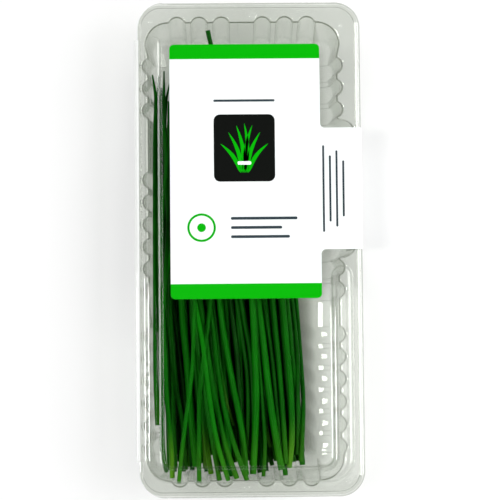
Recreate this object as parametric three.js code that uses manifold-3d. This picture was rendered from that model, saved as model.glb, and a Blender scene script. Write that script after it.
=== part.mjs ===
// Clear hinged clamshell pack of cut chives, lying flat and closed.
// Millimetres, +Z up. X runs across the pack with the hinge on the -X side, Y runs along it with the
// cut ends of the leaves at -Y. The origin is the middle of the pack's box, on the surface it rests on.
import * as THREE from 'three';
import { mergeVertices } from 'three/addons/utils/BufferGeometryUtils.js';
import Module from 'manifold-3d';

const wasm = await Module();
wasm.setup();

// Sheet and rim
const sheet = 0.45;                    // thickness of the formed plastic
const clearance = 0.3;                 // gap between neighbouring pieces
const trayHeight = 24;                 // top of the tray's flange
const rim = { left: -42.8, right: 44.4, bottom: -97, top: 97, radius: 10 };
const lipDepth = 1.6;                  // how far the tray flange's lip turns down
const skirtDepth = 2.1;                // how far the skirt reaches down from the lid panel's top
const skirtStart = -33;                // the skirt runs from here to the opening side

// Tray mouth, walls and floor
const mouth = { left: -40.4, right: 36.4, bottom: -90.8, top: 89.5, radius: 9.3 };
const waist = 1.0;                     // the long walls stand this far inside the corners
const wallInset = 4.4;                 // how far the walls lean in above the floor's rounding
const floorRounding = 4.8;
const roundingAngles = [30, 60];       // steps between wall and floor, in degrees

// Flutes: upright half-round ribs that bulge outward, in rows that start at the given places
const flute = { width: 6.8, depth: 2.15, pitch: 8.74, lowShare: 0.8, floorShare: 0.12 };
const hingeSideFlutes = [{ start: -81.1, count: 6 }, { start: -20.1, count: 6 }, { start: 51.0, count: 3 }];
const openSideFlutes = [{ start: -81.1, count: 6 }, { start: -20.1, count: 2 }, { start: 51.0, count: 3 }];
const endFlutes = [{ start: -31.1, count: 3 }, { start: 2.6, count: 3 }];

// Flat-faced bulge in the opening side's wall, behind the seal
const bulge = { from: -4.4, to: 50.8, depth: 5.4, round: 5, lowShare: 0.65 };

// Lid bead: one raised channel down the hinge side, along the bottom end and part way up the other side
const bead = {
  left: -40.8, innerLeft: -35.0, bottom: -91.2, innerBottom: -85.0, innerRight: 31.2, right: 39.4,
  leftTop: 83.75, rightTop: -7.2, outerRadius: 9.5, innerRadius: 4.0,
};
// Steps of the bead's section: how far in from its edge, and how high above the panel
const beadSection = [[0, 0], [0.4, 1.2], [1.0, 2.3], [1.9, 3.0]];

// Hinge film: a thin fold that stands out from the two flange edges
const hinge = { x: -43.7, radius: 0.9, film: 0.3, mouthAngle: 55, from: -83, to: 82 };

// Label: a panel on the lid with a tab over the opening edge, and the seal below it on the tray
const label = { left: -30.7, right: 28.3, bottom: -19.9, top: 80.3, corner: 1.8, thickness: 0.2 };
const tab = { bottom: -0.8, top: 47.0, corner: 1.8 };
const sealBottom = 10.5;               // lower end of the seal on the tray wall

// Chive leaves, laid one on another in the tray
const leafCount = 50;
const leafSteps = 9;
const leafSides = 6;
const leafRadius = { least: 1.1, most: 1.4 };
const leafLength = { least: 132, most: 163 };
const leafTip = { length: 22, radius: 0.28 };
const leafLean = { hingeSide: 1.0, openSide: 5.0, spread: 1.1 };   // degrees towards the hinge
const leafBow = 1.2;                   // how far a leaf's middle may stand off its straight line
const bunch = { left: -34.5, right: 21.0 };
const leafTries = 24;                  // places tried for each leaf before the lowest is taken
const leafWeight = 0.15;               // sag of a leaf over its own steps, against its stiffness
const leafSlack = 2.5;                 // most that a cut end stands off the end wall
const slideStep = 0.2;
const settleStep = 2;                  // spacing of the places where a leaf is held up
const leafSeed = 41;

const clearSheet = { color: 0xdfe6dc, roughness: 0.08, metalness: 0, transparent: true, opacity: 0.35 };
const paper = { color: 0xf8fbfa, roughness: 0.6, metalness: 0 };
const leafGreens = [0x0b5409, 0x126a0e, 0x0a4208, 0x1b7412];

const radians = THREE.MathUtils.degToRad;
const lidBottom = trayHeight;
const lidTop = trayHeight + sheet;
const wallLean = wallInset / (trayHeight - floorRounding);
const floorInset = wallInset + floorRounding;

const group = new THREE.Group();

function addPart(name, geometry, look) {
  const mesh = new THREE.Mesh(geometry, new THREE.MeshStandardMaterial(look));
  mesh.name = name;
  group.add(mesh);
}

// ---- closed surfaces ----

// A geometry whose faces all point outward.
function closedGeometry(positions, faces) {
  const corner = (i) => new THREE.Vector3().fromArray(positions, 3 * i);
  let volume = 0;
  for (const [a, b, c] of faces) volume += corner(a).dot(corner(b).cross(corner(c)));
  const outward = volume < 0 ? faces.map(([a, b, c]) => [a, c, b]) : faces;
  const geometry = new THREE.BufferGeometry();
  geometry.setAttribute('position', new THREE.Float32BufferAttribute(positions, 3));
  geometry.setIndex(outward.flat());
  geometry.computeVertexNormals();
  return geometry;
}

// Skins a stack of rings with equal point counts. `flatten` gives the two coordinates in which the
// first and last ring are closed off.
function loft(rings, flatten = ([x, y]) => new THREE.Vector2(x, y)) {
  const count = rings[0].length;
  const last = (rings.length - 1) * count;
  const faces = [];
  for (let ring = 0; ring < last; ring += count) {
    for (let i = 0; i < count; i++) {
      const a = ring + i;
      const b = ring + ((i + 1) % count);
      faces.push([a, b, b + count], [a, b + count, a + count]);
    }
  }
  const close = (ring) => THREE.ShapeUtils.triangulateShape(ring.map(flatten), []);
  for (const [a, b, c] of close(rings[0])) faces.push([c, b, a]);
  for (const [a, b, c] of close(rings.at(-1))) faces.push([last + a, last + b, last + c]);
  return closedGeometry(rings.flat(2), faces);
}

function atHeight(outline, z) {
  return outline.map(([x, y]) => [x, y, z]);
}

// Extrudes an outline drawn in X and Z along Y.
function extrudeAlongY(outline, from, to) {
  const shape = new THREE.Shape(outline.map(([x, z]) => new THREE.Vector2(x, z)));
  const geometry = new THREE.ExtrudeGeometry(shape, { depth: to - from, bevelEnabled: false });
  return geometry.rotateX(Math.PI / 2).translate(0, to, 0);
}

function toSolid(geometry) {
  const plain = geometry.clone();
  plain.deleteAttribute('normal');
  plain.deleteAttribute('uv');
  const merged = mergeVertices(plain, 1e-5);
  return new wasm.Manifold(new wasm.Mesh({
    numProp: 3,
    vertProperties: new Float32Array(merged.attributes.position.array),
    triVerts: new Uint32Array(merged.index.array),
  }));
}

function fromSolid(solid) {
  const { vertProperties, triVerts } = solid.getMesh();
  const geometry = new THREE.BufferGeometry();
  geometry.setAttribute('position', new THREE.BufferAttribute(new Float32Array(vertProperties), 3));
  geometry.setIndex(new THREE.BufferAttribute(new Uint32Array(triVerts), 1));
  geometry.computeVertexNormals();
  return geometry;
}

// ---- outlines, anticlockwise seen from above ----

function arc(centreX, centreY, radius, fromDegrees, toDegrees, steps) {
  const points = [];
  for (let i = 0; i <= steps; i++) {
    const angle = radians(fromDegrees + ((toDegrees - fromDegrees) * i) / steps);
    points.push([centreX + radius * Math.cos(angle), centreY + radius * Math.sin(angle)]);
  }
  return points;
}

// Places along a long or an end wall: `along` it, and how far `out` of its line at full depth.
function fluteStations(rows, setback) {
  const arcRadius = ((flute.width / 2) ** 2 + flute.depth ** 2) / (2 * flute.depth);
  const halfAngle = Math.asin(flute.width / 2 / arcRadius);
  const stations = [];
  for (const { start, count } of rows) {
    for (let i = 0; i < count; i++) {
      const middle = start + flute.width / 2 + i * flute.pitch;
      for (const share of [-1, -1 / 3, 1 / 3, 1]) {
        const rise = arcRadius * Math.cos(share * halfAngle) - (arcRadius - flute.depth);
        stations.push({ along: middle + arcRadius * Math.sin(share * halfAngle), out: rise - setback });
      }
    }
  }
  return stations;
}

function bulgeStations() {
  const rise = bulge.depth + waist;
  const stations = [];
  for (const angle of [0, 30, 60, 90]) {
    const out = rise * Math.sin(radians(angle)) - waist;
    const inFromEnd = bulge.round * (1 - Math.cos(radians(angle)));
    stations.push({ along: bulge.from + inFromEnd, out, onBulge: true });
    stations.push({ along: bulge.to - inFromEnd, out, onBulge: true });
  }
  return stations;
}

const byPlace = (a, b) => a.along - b.along;
const walls = {
  right: [...fluteStations(openSideFlutes, waist), ...bulgeStations()].sort(byPlace),
  top: fluteStations(endFlutes, 0).reverse(),
  left: fluteStations(hingeSideFlutes, waist).reverse(),
  bottom: fluteStations(endFlutes, 0),
};

// The tray's outline, moved in by `inset`, with its flutes and bulge scaled by the two shares.
function trayOutline(inset, fluteShare, bulgeShare) {
  const box = {
    left: mouth.left + inset, right: mouth.right - inset,
    bottom: mouth.bottom + inset, top: mouth.top - inset,
  };
  const radius = mouth.radius - inset;
  const out = (station) => station.out * (station.onBulge ? bulgeShare : fluteShare);
  return [
    ...arc(box.right - radius, box.bottom + radius, radius, -90, 0, 5),
    ...walls.right.map((s) => [box.right + out(s), s.along]),
    ...arc(box.right - radius, box.top - radius, radius, 0, 90, 5),
    ...walls.top.map((s) => [s.along, box.top + out(s)]),
    ...arc(box.left + radius, box.top - radius, radius, 90, 180, 5),
    ...walls.left.map((s) => [box.left - out(s), s.along]),
    ...arc(box.left + radius, box.bottom + radius, radius, 180, 270, 5),
    ...walls.bottom.map((s) => [s.along, box.bottom - out(s)]),
  ];
}

// A rim outline with a point for each point of the tray's outline, moved in by `inset`. The hinge
// edge stays where it is unless `hingeInset` moves it.
function rimOutline(inset, hingeInset = 0) {
  const box = {
    left: rim.left + hingeInset, right: rim.right - inset,
    bottom: rim.bottom + inset, top: rim.top - inset,
  };
  const radius = rim.radius - inset;
  return [
    ...arc(box.right - radius, box.bottom + radius, radius, -90, 0, 5),
    ...walls.right.map((s) => [box.right, s.along]),
    ...arc(box.right - radius, box.top - radius, radius, 0, 90, 5),
    ...walls.top.map((s) => [s.along, box.top]),
    ...arc(box.left + radius, box.top - radius, radius, 90, 180, 5),
    ...walls.left.map((s) => [box.left, s.along]),
    ...arc(box.left + radius, box.bottom + radius, radius, 180, 270, 5),
    ...walls.bottom.map((s) => [s.along, box.bottom]),
  ];
}

// A plain rounded rectangle for the lid, moved in by `inset`.
function lidOutline(inset) {
  const radius = rim.radius - inset;
  const right = rim.right - rim.radius;
  const left = rim.left + rim.radius;
  const top = rim.top - rim.radius;
  const bottom = rim.bottom + rim.radius;
  return [
    ...arc(right, bottom, radius, -90, 0, 8),
    ...arc(right, top, radius, 0, 90, 8),
    ...arc(left, top, radius, 90, 180, 8),
    ...arc(left, bottom, radius, 180, 270, 8),
  ];
}

// The bead seen from above, moved in by `inset` all round.
function beadOutline(inset) {
  const outer = bead.outerRadius - inset;
  const inner = bead.innerRadius + inset;
  const leftEnd = (bead.innerLeft - bead.left) / 2;
  const rightEnd = (bead.right - bead.innerRight) / 2;
  const outerCorner = bead.bottom + bead.outerRadius;
  const innerCorner = bead.innerBottom + bead.innerRadius;
  return [
    ...arc(bead.left + bead.outerRadius, outerCorner, outer, 180, 270, 8),
    ...arc(bead.right - bead.outerRadius, outerCorner, outer, 270, 360, 8),
    ...arc(bead.right - rightEnd, bead.rightTop - rightEnd, rightEnd - inset, 0, 180, 10),
    ...arc(bead.innerRight - bead.innerRadius, innerCorner, inner, 0, -90, 5),
    ...arc(bead.innerLeft + bead.innerRadius, innerCorner, inner, 270, 180, 5),
    ...arc(bead.left + leftEnd, bead.leftTop - leftEnd, leftEnd - inset, 0, 180, 10),
  ];
}

// ---- the tray ----

// One ring of the tray's wall where the floor's rounding has turned by `angle`; `skin` is the sheet's
// thickness on the inner face and 0 on the outer face.
function roundingRing(angle, skin) {
  const turn = radians(angle);
  const radius = floorRounding - skin;
  const fade = Math.cos(turn);
  const fluteShare = flute.floorShare + (flute.lowShare - flute.floorShare) * fade;
  const bulgeShare = flute.floorShare + (bulge.lowShare - flute.floorShare) * fade;
  const outline = trayOutline(floorInset - radius * Math.cos(turn), fluteShare, bulgeShare);
  return atHeight(outline, floorRounding - radius * Math.sin(turn));
}

function makeTray() {
  const lipInset = sheet + clearance;
  const underFlange = trayHeight - sheet;
  const angles = [0, ...roundingAngles, 90];
  const flangeEdge = rimOutline(lipInset);
  const lipInside = rimOutline(lipInset + sheet, sheet);
  return loft([
    ...angles.toReversed().map((angle) => roundingRing(angle, sheet)),
    atHeight(trayOutline(sheet, 1, 1), trayHeight),
    atHeight(flangeEdge, trayHeight),
    atHeight(flangeEdge, trayHeight - lipDepth),
    atHeight(lipInside, trayHeight - lipDepth),
    atHeight(lipInside, underFlange),
    atHeight(trayOutline(sheet * wallLean, 1, 1), underFlange),
    ...angles.map((angle) => roundingRing(angle, 0)),
  ]);
}

// ---- the lid, its bead and the hinge film ----

function makeLid() {
  const skirtBottom = lidTop - skirtDepth;
  const body = toSolid(loft([
    atHeight(lidOutline(0), skirtBottom),
    atHeight(lidOutline(0), lidTop - 0.75),
    atHeight(lidOutline(0.2), lidTop - 0.25),
    atHeight(lidOutline(0.75), lidTop),
  ]));
  const hollow = toSolid(loft([
    atHeight(lidOutline(sheet), skirtBottom - 1),
    atHeight(lidOutline(sheet), lidBottom),
  ]));
  const hingeSide = toSolid(new THREE.BoxGeometry(30, 220, 5)
    .translate(skirtStart - 15, 0, lidBottom - 2.5));
  const outside = beadSection.map(([inset, rise]) => atHeight(beadOutline(inset), lidTop + rise));
  const inside = beadSection.map(([inset, rise]) => (
    atHeight(beadOutline(inset + sheet), lidBottom + rise)));
  const beadBody = toSolid(loft([atHeight(beadOutline(0), lidBottom + 0.1), ...outside]));
  const beadHollow = toSolid(loft([atHeight(beadOutline(sheet), lidBottom - 1), ...inside]));
  return fromSolid(body.subtract(hollow).subtract(hingeSide).add(beadBody).subtract(beadHollow));
}

function makeHinge() {
  const { x, radius, film, mouthAngle } = hinge;
  const outline = [
    ...arc(x, trayHeight, radius, mouthAngle, 360 - mouthAngle, 10),
    ...arc(x, trayHeight, radius - film, 360 - mouthAngle, mouthAngle, 10),
  ];
  return extrudeAlongY(outline, hinge.from, hinge.to);
}

// ---- the label and the seal ----

function makeLabel() {
  const { left, right, bottom, top, corner } = label;
  const tabEnd = rim.right - 0.75;
  const face = new THREE.Shape([
    ...arc(left + corner, bottom + corner, corner, 180, 270, 4),
    ...arc(right - corner, bottom + corner, corner, 270, 360, 4),
    ...arc(right + tab.corner, tab.bottom - tab.corner, tab.corner, 180, 90, 4),
    [tabEnd, tab.bottom],
    [tabEnd, tab.top],
    ...arc(right + tab.corner, tab.top + tab.corner, tab.corner, 270, 180, 4),
    ...arc(right - corner, top - corner, corner, 0, 90, 4),
    ...arc(left + corner, top - corner, corner, 90, 180, 4),
  ].map(([x, y]) => new THREE.Vector2(x, y)));
  const panel = new THREE.ExtrudeGeometry(face, { depth: label.thickness, bevelEnabled: false })
    .translate(0, 0, lidTop);
  // The tab's end follows the lid's rounded edge and runs down the skirt.
  const outer = rim.right + label.thickness;
  const fold = extrudeAlongY([
    [tabEnd - 4, lidTop], [tabEnd, lidTop], [rim.right - 0.15, lidTop - 0.2], [rim.right, lidTop - 0.7],
    [rim.right, lidTop - skirtDepth], [outer, lidTop - skirtDepth], [outer, lidTop - 0.65],
    [outer - 0.2, lidTop - 0.05], [tabEnd, lidTop + label.thickness],
    [tabEnd - 4, lidTop + label.thickness],
  ], tab.bottom, tab.top);
  return fromSolid(toSolid(panel).add(toSolid(fold)));
}

// The seal starts just under the lid's skirt and lies down the bulge's flat face.
function makeSeal() {
  const underLip = lidTop - skirtDepth - clearance;
  const lowFace = mouth.right + bulge.depth * bulge.lowShare - wallInset;
  const topFace = mouth.right + bulge.depth;
  const lean = (topFace - lowFace) / (trayHeight - floorRounding);
  const face = (z) => topFace - lean * (trayHeight - z) + clearance;
  const edge = rim.right + label.thickness;
  const thick = label.thickness;
  return extrudeAlongY([
    [edge, underLip], [face(underLip), underLip], [face(sealBottom), sealBottom],
    [face(sealBottom) + thick, sealBottom], [face(underLip - thick) + thick, underLip - thick],
    [edge, underLip - thick],
  ], tab.bottom, tab.top);
}

// ---- the leaves ----

function seededRandom(seed) {
  let state = seed;
  return () => {
    state = (state + 0x6d2b79f5) | 0;
    let t = Math.imul(state ^ (state >>> 15), 1 | state);
    t = (t + Math.imul(t ^ (t >>> 7), 61 | t)) ^ t;
    return ((t ^ (t >>> 14)) >>> 0) / 4294967296;
  };
}

// How far a point lies inside the line of the tray's walls, at the height of the mouth.
function insideWalls(x, y) {
  const halfX = (mouth.right - mouth.left) / 2 - waist;
  const halfY = (mouth.top - mouth.bottom) / 2;
  const offX = Math.abs(x - (mouth.left + mouth.right) / 2) - halfX + mouth.radius;
  const offY = Math.abs(y - (mouth.top + mouth.bottom) / 2) - halfY + mouth.radius;
  const outside = Math.hypot(Math.max(offX, 0), Math.max(offY, 0));
  return mouth.radius - outside - Math.min(Math.max(offX, offY), 0);
}

// How far in the wall's inner face stands at a height.
function wallFace(z) {
  if (z >= floorRounding) return sheet + (trayHeight - z) * wallLean;
  const drop = Math.min(floorRounding - z, floorRounding - sheet);
  return floorInset - Math.sqrt((floorRounding - sheet) ** 2 - drop ** 2);
}

// The lowest height at which a leaf lying along the tray clears its floor, rounding and long walls.
function trayUnder(x, radius) {
  const inside = insideWalls(x, 0);
  const reach = radius + clearance;
  const roll = floorRounding - sheet - reach;
  const short = floorInset - inside;
  if (short <= 0) return sheet + reach;
  if (short <= roll) return floorRounding - Math.sqrt(roll * roll - short * short);
  return trayHeight - (inside - reach - sheet) / wallLean;
}

function radiusAt(leaf, y) {
  const toTip = leaf.butt + leaf.length - y;
  const share = Math.min(toTip / leafTip.length, 1);
  const body = leaf.radius * (1 - 0.15 * ((y - leaf.butt) / leaf.length));
  return Math.max(leafTip.radius, body * Math.sqrt(Math.max(share, 0)));
}

function acrossAt(leaf, y) {
  const share = (y - leaf.butt) / leaf.length;
  return leaf.x - Math.tan(leaf.lean) * (y - leaf.butt) + leaf.bow * Math.sin(Math.PI * share);
}

function heightAt(leaf, y) {
  const place = ((y - leaf.butt) / leaf.length) * leafSteps;
  const step = Math.min(Math.max(Math.floor(place), 0), leafSteps - 1);
  const share = Math.min(Math.max(place - step, 0), 1);
  return leaf.heights[step] * (1 - share) + leaf.heights[step + 1] * share;
}

// A leaf's path between two steps is straight, so its width is read off the steps too.
function onSteps(leaf, y, at) {
  const step = Math.min(Math.floor(((y - leaf.butt) / leaf.length) * leafSteps), leafSteps - 1);
  const from = leaf.butt + (leaf.length * Math.max(step, 0)) / leafSteps;
  const share = Math.min(Math.max((y - from) / (leaf.length / leafSteps), 0), 1);
  return at(leaf, from) * (1 - share) + at(leaf, from + leaf.length / leafSteps) * share;
}

// Height that the leaves already laid, and the tray, ask of a new leaf at one place.
function heldUp(leaf, y, laid) {
  const x = onSteps(leaf, y, acrossAt);
  const radius = onSteps(leaf, y, radiusAt);
  let height = trayUnder(x, radius);
  for (const other of laid) {
    if (y < other.butt - 1 || y > other.butt + other.length + 1) continue;
    const off = x - onSteps(other, y, acrossAt);
    const reach = radius + onSteps(other, y, radiusAt) + clearance;
    if (Math.abs(off) < reach) {
      height = Math.max(height, heightAt(other, y) + Math.sqrt(reach * reach - off * off));
    }
  }
  return height;
}

// Lets one step of a leaf sink under its weight, as far as the leaf's stiffness and `under` allow.
function sink(heights, step, under) {
  let stiffness = 0;
  let pull = -leafWeight;
  for (let middle = Math.max(step - 1, 1); middle <= Math.min(step + 1, leafSteps - 1); middle++) {
    const share = middle === step ? -2 : 1;
    const bend = heights[middle - 1] - 2 * heights[middle] + heights[middle + 1];
    stiffness += share * share;
    pull -= share * (bend - share * heights[step]);
  }
  heights[step] = Math.max(under, pull / stiffness);
}

// Lays a leaf on the tray and the leaves already laid: it sags between the places that hold it up.
function settle(leaf, laid) {
  const stepLength = leaf.length / leafSteps;
  const places = [];
  for (let y = leaf.butt; y < leaf.butt + leaf.length; y += settleStep) places.push(y);
  const needs = places.map((y) => heldUp(leaf, y, laid));
  const under = new Array(leafSteps + 1).fill(0);
  places.forEach((y, i) => {
    const step = Math.round((y - leaf.butt) / stepLength);
    under[step] = Math.max(under[step], needs[i]);
  });
  const heights = [...under];
  for (let round = 0; round < 150; round++) {
    for (let step = 0; step <= leafSteps; step++) sink(heights, step, under[step]);
  }
  leaf.heights = heights;
  for (let round = 0; round < 6; round++) {
    places.forEach((y, i) => {
      const short = needs[i] - heightAt(leaf, y);
      if (short <= 0) return;
      const step = Math.min(Math.floor((y - leaf.butt) / stepLength), leafSteps - 1);
      const share = (y - leaf.butt) / stepLength - step;
      const weight = share * share + (1 - share) * (1 - share);
      heights[step] += (short * (1 - share)) / weight;
      heights[step + 1] += (short * share) / weight;
    });
  }
  return (Math.max(...heights) + heights.reduce((sum, z) => sum + z, 0) / heights.length) / 2;
}

// Slides a leaf's cut end up to the end wall, as near as its height allows.
function slideToWall(leaf) {
  const low = leaf.heights[0] - leaf.radius;
  const clears = (y) => [-1, 1].every((side) => (
    insideWalls(leaf.x + side * leaf.radius, y) > wallFace(low) + clearance));
  leaf.butt = mouth.bottom;
  while (!clears(leaf.butt) && leaf.butt < mouth.bottom + 2 * floorInset) leaf.butt += slideStep;
  leaf.butt += leaf.slack;
}

function randomLeaf(random) {
  const between = (low, high) => low + (high - low) * random();
  const x = between(bunch.left, bunch.right);
  const across = (x - bunch.left) / (bunch.right - bunch.left);
  const lean = THREE.MathUtils.lerp(leafLean.hingeSide, leafLean.openSide, across);
  return {
    x,
    lean: radians(lean + between(-leafLean.spread, leafLean.spread)),
    bow: between(-leafBow, leafBow),
    radius: between(leafRadius.least, leafRadius.most),
    length: between(leafLength.least, leafLength.most),
    butt: mouth.bottom + floorInset,
    slack: between(0, leafSlack),
  };
}

function layLeaves() {
  const random = seededRandom(leafSeed);
  const laid = [];
  for (let i = 0; i < leafCount; i++) {
    let lowest = null;
    for (let attempt = 0; attempt < leafTries; attempt++) {
      const leaf = randomLeaf(random);
      settle(leaf, laid);
      slideToWall(leaf);
      leaf.stand = settle(leaf, laid);
      slideToWall(leaf);
      leaf.stand += Math.max(0, leaf.butt - mouth.bottom - floorInset - leafSlack);
      if (!lowest || leaf.stand < lowest.stand) lowest = leaf;
    }
    laid.push(lowest);
  }
  return laid;
}

function makeLeaf(leaf) {
  const rings = [];
  for (let step = 0; step <= leafSteps; step++) {
    const y = leaf.butt + (leaf.length * step) / leafSteps;
    const ring = [];
    for (let side = 0; side < leafSides; side++) {
      const angle = (2 * Math.PI * side) / leafSides;
      const radius = radiusAt(leaf, y);
      const across = acrossAt(leaf, y) + radius * Math.cos(angle);
      ring.push([across, y, leaf.heights[step] + radius * Math.sin(angle)]);
    }
    rings.push(ring);
  }
  return loft(rings, ([x, , z]) => new THREE.Vector2(x, z));
}

addPart('base_tray', makeTray(), clearSheet);
addPart('lid', makeLid(), clearSheet);
addPart('living_hinge', makeHinge(), clearSheet);
addPart('label', makeLabel(), paper);
addPart('seal_tail', makeSeal(), paper);
layLeaves().forEach((leaf, i) => {
  const look = { color: leafGreens[i % leafGreens.length], roughness: 0.5, metalness: 0 };
  addPart(`chive_leaf_${String(i + 1).padStart(2, '0')}`, makeLeaf(leaf), look);
});

export default group;
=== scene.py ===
import math
import random
import bmesh
import bpy
import numpy as np
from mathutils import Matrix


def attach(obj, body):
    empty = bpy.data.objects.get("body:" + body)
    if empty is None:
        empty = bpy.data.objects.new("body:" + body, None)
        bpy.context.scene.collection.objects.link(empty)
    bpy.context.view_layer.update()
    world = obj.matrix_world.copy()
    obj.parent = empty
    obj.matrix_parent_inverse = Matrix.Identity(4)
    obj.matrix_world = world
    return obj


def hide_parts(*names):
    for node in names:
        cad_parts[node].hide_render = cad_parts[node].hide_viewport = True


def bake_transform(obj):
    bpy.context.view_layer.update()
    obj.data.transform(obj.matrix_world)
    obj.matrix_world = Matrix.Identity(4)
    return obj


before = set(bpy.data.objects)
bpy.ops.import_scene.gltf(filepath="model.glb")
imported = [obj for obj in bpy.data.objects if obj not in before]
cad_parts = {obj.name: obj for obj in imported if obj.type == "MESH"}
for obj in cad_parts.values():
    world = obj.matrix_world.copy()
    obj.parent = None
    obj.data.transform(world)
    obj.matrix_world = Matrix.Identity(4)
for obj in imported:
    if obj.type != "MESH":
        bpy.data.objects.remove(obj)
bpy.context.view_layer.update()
print("frame loaded:", len(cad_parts), "nodes")

mm = 0.001  # every size below is in millimetres
sharpAngle = 40.0  # bends of more degrees than this are shaded as edges


def linearColor(hexText):
    channels = [int(hexText[i:i + 2], 16) / 255 for i in (1, 3, 5)]
    return tuple(c / 12.92 if c <= 0.04045 else ((c + 0.055) / 1.055) ** 2.4 for c in channels) + (1.0,)


def between(low, high, share):
    return low + (high - low) * share


def smoothStep(low, high, value):
    share = np.clip((value - low) / (high - low), 0.0, 1.0)
    return share * share * (3 - 2 * share)


nodeFamily = {"SHADER": "ShaderNode", "GEOMETRY": "GeometryNode"}


def addNode(tree, kind, inputs=None, **settings):
    # an input is a value, a hex colour, a socket, or a node that gives its first output
    made = tree.nodes.new(kind if kind.startswith("NodeGroup") else nodeFamily[tree.type] + kind)
    for name, value in settings.items():
        setattr(made, name, value)
    for name, value in (inputs or {}).items():
        if isinstance(value, bpy.types.Node):
            value = value.outputs[0]
        elif isinstance(value, str) and value.startswith("#"):
            value = linearColor(value)
        if isinstance(value, bpy.types.NodeSocket):
            tree.links.new(value, made.inputs[name])
        else:
            made.inputs[name].default_value = value
    return made


def newMaterial(name):
    material = bpy.data.materials.new(name)
    material.use_nodes = True
    material.node_tree.nodes.clear()
    return material, material.node_tree


def linkPiece(name, mesh, *materials):
    for material in materials:
        mesh.materials.append(material)
    mesh.shade_smooth()
    piece = bpy.data.objects.new(name, mesh)
    bpy.context.scene.collection.objects.link(piece)
    return piece


def newPiece(name, points, faces, *materials, edges=()):
    mesh = bpy.data.meshes.new(name)
    mesh.from_pydata([[float(c) * mm for c in p] for p in points], edges, faces)
    return linkPiece(name, mesh, *materials)


def pieceFrom(bm, name, material):
    mesh = bpy.data.meshes.new(name)
    bm.to_mesh(mesh)
    bm.free()
    return linkPiece(name, mesh, material)


def bakeModifiers(piece):
    # the evaluated mesh takes the place of the modifiers
    graph = bpy.context.evaluated_depsgraph_get()
    mesh = bpy.data.meshes.new_from_object(piece.evaluated_get(graph), depsgraph=graph)
    piece.modifiers.clear()
    piece.data = mesh
    mesh.set_sharp_from_angle(angle=math.radians(sharpAngle))


def thicken(piece, thickness, offset=-1.0):
    # gives a sheet its wall: behind its normals at -1, on both sides at 0, before them at 1
    wall = piece.modifiers.new("wall", "SOLIDIFY")
    wall.thickness = thickness * mm
    wall.offset = offset
    bakeModifiers(piece)


def arc(centreX, centreY, radius, fromDegrees, toDegrees, steps):
    angles = np.radians(np.linspace(fromDegrees, toDegrees, steps + 1))
    return [(centreX + radius * math.cos(a), centreY + radius * math.sin(a)) for a in angles]


def roundedRing(left, bottom, right, top, radius, sides, steps):
    # an outline with round corners; each side lists its points as place along it and how far out
    ring = arc(right - radius, bottom + radius, radius, -90, 0, steps)
    ring += [(right + out, y) for y, out in sides["right"]]
    ring += arc(right - radius, top - radius, radius, 0, 90, steps)
    ring += [(x, top + out) for x, out in sides["top"]]
    ring += arc(left + radius, top - radius, radius, 90, 180, steps)
    ring += [(left - out, y) for y, out in sides["left"]]
    ring += arc(left + radius, bottom + radius, radius, 180, 270, steps)
    ring += [(x, bottom - out) for x, out in sides["bottom"]]
    return np.array(ring)


def rowFaces(rowCount, count, closed=True):
    # quads between rows of equal length
    faces = []
    for first in range(0, (rowCount - 1) * count, count):
        for i in range(count if closed else count - 1):
            a, b = first + i, first + (i + 1) % count
            faces.append((a, b, b + count, a + count))
    return faces


def fillBetween(bm, rings):
    # fills the flat space between closed rings of vertices, as many as there are
    edges = []
    for ring in rings:
        for a, b in zip(ring, ring[1:] + ring[:1]):
            edges.append(bm.edges.get((a, b)) or bm.edges.new((a, b)))
    made = bmesh.ops.triangle_fill(bm, edges=edges, use_beauty=True, normal=(0, 0, 1))
    faces = [g for g in made["geom"] if isinstance(g, bmesh.types.BMFace)]
    for face in faces:
        face.smooth = True
    return faces


def faceUp(bm):
    # turns a sheet's normals the same way, upward
    bmesh.ops.recalc_face_normals(bm, faces=bm.faces)
    if sum(f.normal.z * f.calc_area() for f in bm.faces) < 0:
        bmesh.ops.reverse_faces(bm, faces=bm.faces)


# camera

camera = {
    "place": (-8.64, -45.65, 714.56),
    "turn": (3.71753, -0.71105, -0.5362),  # degrees
    "sensor": 36.0, "lens": 127.44,
    "clip": (0.01, 10.0),  # metres
}


def makeCamera():
    data = bpy.data.cameras.new("camera")
    data.sensor_width, data.lens = camera["sensor"], camera["lens"]
    data.clip_start, data.clip_end = camera["clip"]
    item = bpy.data.objects.new("camera", data)
    item.location = [c * mm for c in camera["place"]]
    item.rotation_euler = [math.radians(angle) for angle in camera["turn"]]
    bpy.context.scene.collection.objects.link(item)
    bpy.context.scene.camera = item


makeCamera()
print("camera made")


# materials

petSheet = {
    "throughFace": "#f8f9f7",  # light that passes one face, seen square on
    "throughEdge": "#e4e9df",  # the same, seen edge-on
    "throughPaintedShade": "#505e36",  # painted shade: the same, darkened where the sheet bends sharply and where the floor lies in shade
    "edgePower": 6.0,  # how close to edge-on that colour stays
    "mirror": 0.05,  # share mirrored square on
    "mirrorPower": 5.0,  # how close to edge-on the mirroring rises
    "roughness": 0.03,
    "waveSize": 20.0,  # slow waves left by vacuum forming
    "waveDepth": 0.012,
    "milky": "#fbfcfb",  # the fold's film: a milky white, partly painted highlight, partly its own whitening where it is folded
    "milkyShare": 0.8,  # share of the light that it scatters
}


def relief(tree, place, size, depth, detail, strength):
    # shallow bumps of a real size and depth
    noise = addNode(tree, "TexNoise", {"Vector": place, "Scale": 1 / (size * mm), "Detail": detail})
    return addNode(tree, "Bump", {"Height": noise, "Strength": strength, "Distance": depth * mm})


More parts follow.
